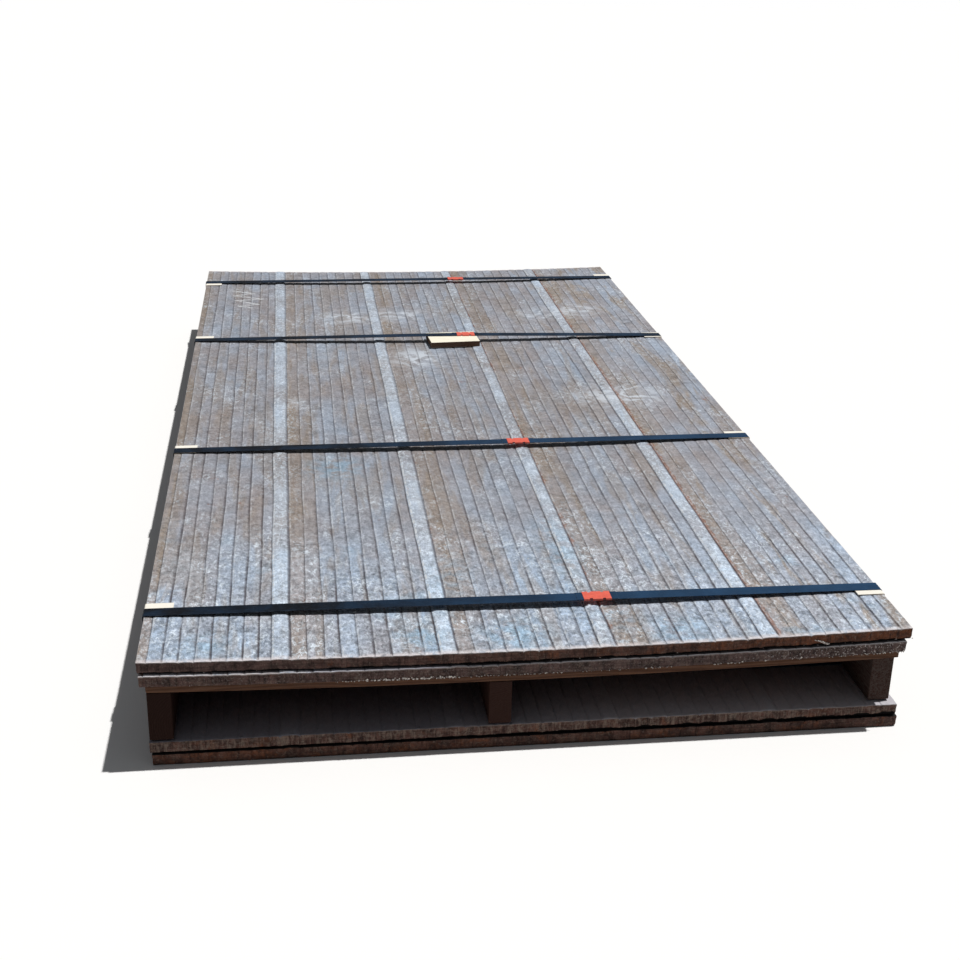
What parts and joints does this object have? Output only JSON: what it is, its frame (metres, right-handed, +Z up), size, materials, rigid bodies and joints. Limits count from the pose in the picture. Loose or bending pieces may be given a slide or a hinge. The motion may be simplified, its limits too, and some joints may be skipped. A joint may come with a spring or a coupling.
{
  "type": "strapped stack of overlay wear plates",
  "caption": "Flat stack of weld-overlay steel wear plates: an upper lift strapped to a timber pallet with fork openings, standing on more plates, with edge guards and a packing block.",
  "frame": {"origin": "on the floor, under the middle of the top plate", "axes": "+X along the front edge to the right, +Y along the plates' length from the front to the back, +Z up"},
  "size_m": [1.5072, 3.004, 0.2379],
  "materials": {
    "overlay_steel": "as-welded overlay beads with dull grey scale, brown flame-cut edges",
    "bearer_timber": "dark weathered sawn timber",
    "deck_timber": "brown weathered sawn board",
    "strap_steel": "blue-black lacquered steel strap",
    "seal_paint": "coral red paint",
    "guard_board": "cream laminated board",
    "block_wood": "fresh pale sawn wood"
  },
  "bodies": {
    "root": {"wear_plate_1": "overlay_steel", "wear_plate_2": "overlay_steel", "wear_plate_3": "overlay_steel", "wear_plate_4": "overlay_steel", "bearer_left": "bearer_timber", "bearer_middle": "bearer_timber", "bearer_right": "bearer_timber", "deck_board_1": "deck_timber", "deck_board_2": "deck_timber", "deck_board_3": "deck_timber", "deck_board_4": "deck_timber", "deck_board_5": "deck_timber", "deck_board_6": "deck_timber", "deck_board_7": "deck_timber", "deck_board_8": "deck_timber", "deck_board_9": "deck_timber", "strap_1": "strap_steel", "strap_seal_1": "seal_paint", "edge_guard_1_left": "guard_board", "edge_guard_1_right": "guard_board", "strap_2": "strap_steel", "strap_seal_2": "seal_paint", "edge_guard_2_left": "guard_board", "edge_guard_2_right": "guard_board", "strap_3": "strap_steel", "strap_seal_3": "seal_paint", "edge_guard_3_left": "guard_board", "edge_guard_3_right": "guard_board", "strap_4": "strap_steel", "strap_seal_4": "seal_paint", "edge_guard_4_left": "guard_board", "edge_guard_4_right": "guard_board", "packing_block": "block_wood"}
  },
  "joints": []
}
